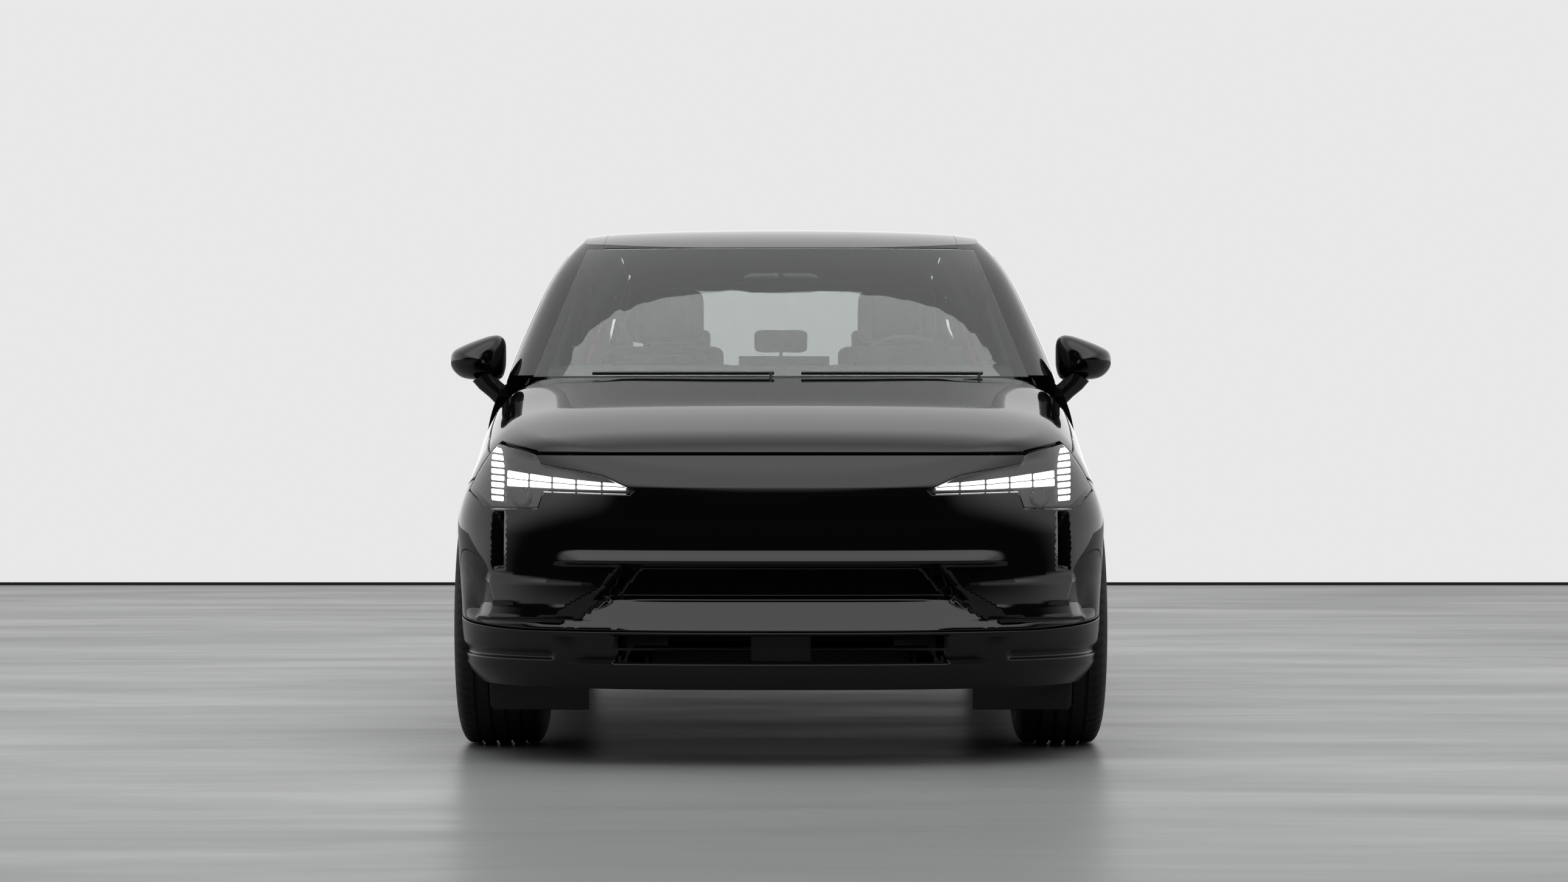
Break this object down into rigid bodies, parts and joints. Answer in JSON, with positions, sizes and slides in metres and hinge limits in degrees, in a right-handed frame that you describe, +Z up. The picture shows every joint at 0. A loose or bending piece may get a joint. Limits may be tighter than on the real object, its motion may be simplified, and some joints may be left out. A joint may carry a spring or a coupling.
{
  "type": "compact electric crossover car",
  "caption": "Black five-door electric crossover with steered wheels, opening doors, bonnet, tailgate and charging flap.",
  "frame": {"origin": "on the ground under the middle of the car's length and width", "axes": "+Z up, the nose points along -Y, the car's left side is +X"},
  "size_m": [2.025, 4.2339, 1.5491],
  "materials": {
    "black_paint": "gloss clear coat",
    "black_gloss": "gloss",
    "black_plastic": "grained",
    "lamp_clear": "clear lens",
    "lamp_red": "red lens",
    "window": "tinted",
    "steel": "satin black",
    "alloy": "painted and machined",
    "casting": "as cast",
    "tyre_rubber": "matt",
    "interior": "soft touch",
    "upholstery": "woven",
    "leatherette": "fine grain"
  },
  "bodies": {
    "body": {"front_bumper": "black_paint", "front_lower_bumper": "black_plastic", "fender_left": "black_paint", "fender_right": "black_paint", "headlamp_left": "lamp_clear", "headlamp_right": "lamp_clear", "body_side_left": "black_paint", "body_side_right": "black_paint", "charge_port": "black_plastic", "roof": "black_paint", "windscreen": "window", "cowl": "black_plastic", "rear_bumper": "black_plastic", "tail_lamps": "lamp_red", "front_structure": "steel", "motor_cover": "black_plastic", "floor_pan": "steel", "battery_pack": "casting", "drive_motor": "casting", "wheel_arch_liners": "black_plastic", "front_axle": "steel", "rear_axle": "steel", "rear_knuckles": "casting", "undertrays": "black_plastic", "dashboard": "interior", "front_seats": "upholstery", "rear_bench": "upholstery"},
    "bonnet": {"bonnet": "black_paint"},
    "tailgate": {"tailgate": "black_paint", "tailgate_glass": "window"},
    "charge_lid": {"charge_lid": "black_paint"},
    "front_door_left": {"front_door_left": "black_paint", "front_door_glass_left": "window", "mirror_left": "black_gloss"},
    "front_door_right": {"front_door_right": "black_paint", "front_door_glass_right": "window", "mirror_right": "black_gloss"},
    "rear_door_left": {"rear_door_left": "black_paint", "rear_door_glass_left": "window"},
    "rear_door_right": {"rear_door_right": "black_paint", "rear_door_glass_right": "window"},
    "knuckle_left": {"knuckle_left": "casting"},
    "knuckle_right": {"knuckle_right": "casting"},
    "front_wheel_left": {"front_tyre_left": "tyre_rubber", "front_rim_left": "alloy"},
    "front_wheel_right": {"front_tyre_right": "tyre_rubber", "front_rim_right": "alloy"},
    "rear_wheel_left": {"rear_tyre_left": "tyre_rubber", "rear_rim_left": "alloy"},
    "rear_wheel_right": {"rear_tyre_right": "tyre_rubber", "rear_rim_right": "alloy"},
    "steering_wheel": {"steering_wheel": "leatherette"}
  },
  "joints": [
    {"name": "bonnet_hinge", "type": "hinge", "parent": "body", "child": "bonnet", "pos_m": [0, -0.757, 1.05], "axis": [-1, 0, 0], "range_deg": [0, 50]},
    {"name": "tailgate_hinge", "type": "hinge", "parent": "body", "child": "tailgate", "pos_m": [0, 1.614, 1.48], "axis": [1, 0, 0], "range_deg": [0, 80]},
    {"name": "charge_lid_hinge", "type": "hinge", "parent": "body", "child": "charge_lid", "pos_m": [0.9135, 1.4445, 0.865], "axis": [0, 0, -1], "range_deg": [0, 80]},
    {"name": "front_door_left_hinge", "type": "hinge", "parent": "body", "child": "front_door_left", "pos_m": [0.899, -0.7081, 0.7], "axis": [0, 0, -1], "range_deg": [0, 65]},
    {"name": "front_door_right_hinge", "type": "hinge", "parent": "body", "child": "front_door_right", "pos_m": [-0.899, -0.7081, 0.7], "axis": [0, 0, 1], "range_deg": [0, 65]},
    {"name": "rear_door_left_hinge", "type": "hinge", "parent": "body", "child": "rear_door_left", "pos_m": [0.899, 0.353, 0.7], "axis": [0, 0, -1], "range_deg": [0, 68]},
    {"name": "rear_door_right_hinge", "type": "hinge", "parent": "body", "child": "rear_door_right", "pos_m": [-0.899, 0.353, 0.7], "axis": [0, 0, 1], "range_deg": [0, 68]},
    {"name": "steering_left", "type": "hinge", "parent": "body", "child": "knuckle_left", "pos_m": [0.735, -1.317, 0.2], "axis": [-0.1947, 0, 0.9809], "range_deg": [-34, 34]},
    {"name": "steering_right", "type": "hinge", "parent": "body", "child": "knuckle_right", "pos_m": [-0.735, -1.317, 0.2], "axis": [0.1947, 0, 0.9809], "range_deg": [-34, 34]},
    {"name": "steering_column", "type": "hinge", "parent": "body", "child": "steering_wheel", "pos_m": [0.39, -0.235, 1.02], "axis": [0, 0.9061, 0.423], "range_deg": [-476, 476]},
    {"name": "front_wheel_left_spin", "type": "hinge", "parent": "knuckle_left", "child": "front_wheel_left", "pos_m": [0.79, -1.317, 0.3515], "axis": [1, 0, 0], "continuous": true},
    {"name": "front_wheel_right_spin", "type": "hinge", "parent": "knuckle_right", "child": "front_wheel_right", "pos_m": [-0.79, -1.317, 0.3515], "axis": [1, 0, 0], "continuous": true},
    {"name": "rear_wheel_left_spin", "type": "hinge", "parent": "body", "child": "rear_wheel_left", "pos_m": [0.79, 1.333, 0.3515], "axis": [1, 0, 0], "continuous": true},
    {"name": "rear_wheel_right_spin", "type": "hinge", "parent": "body", "child": "rear_wheel_right", "pos_m": [-0.79, 1.333, 0.3515], "axis": [1, 0, 0], "continuous": true}
  ],
  "couplings": [
    {"joint": "steering_right", "follows": "steering_left", "ratio": 1},
    {"joint": "steering_column", "follows": "steering_left", "ratio": 14}
  ]
}
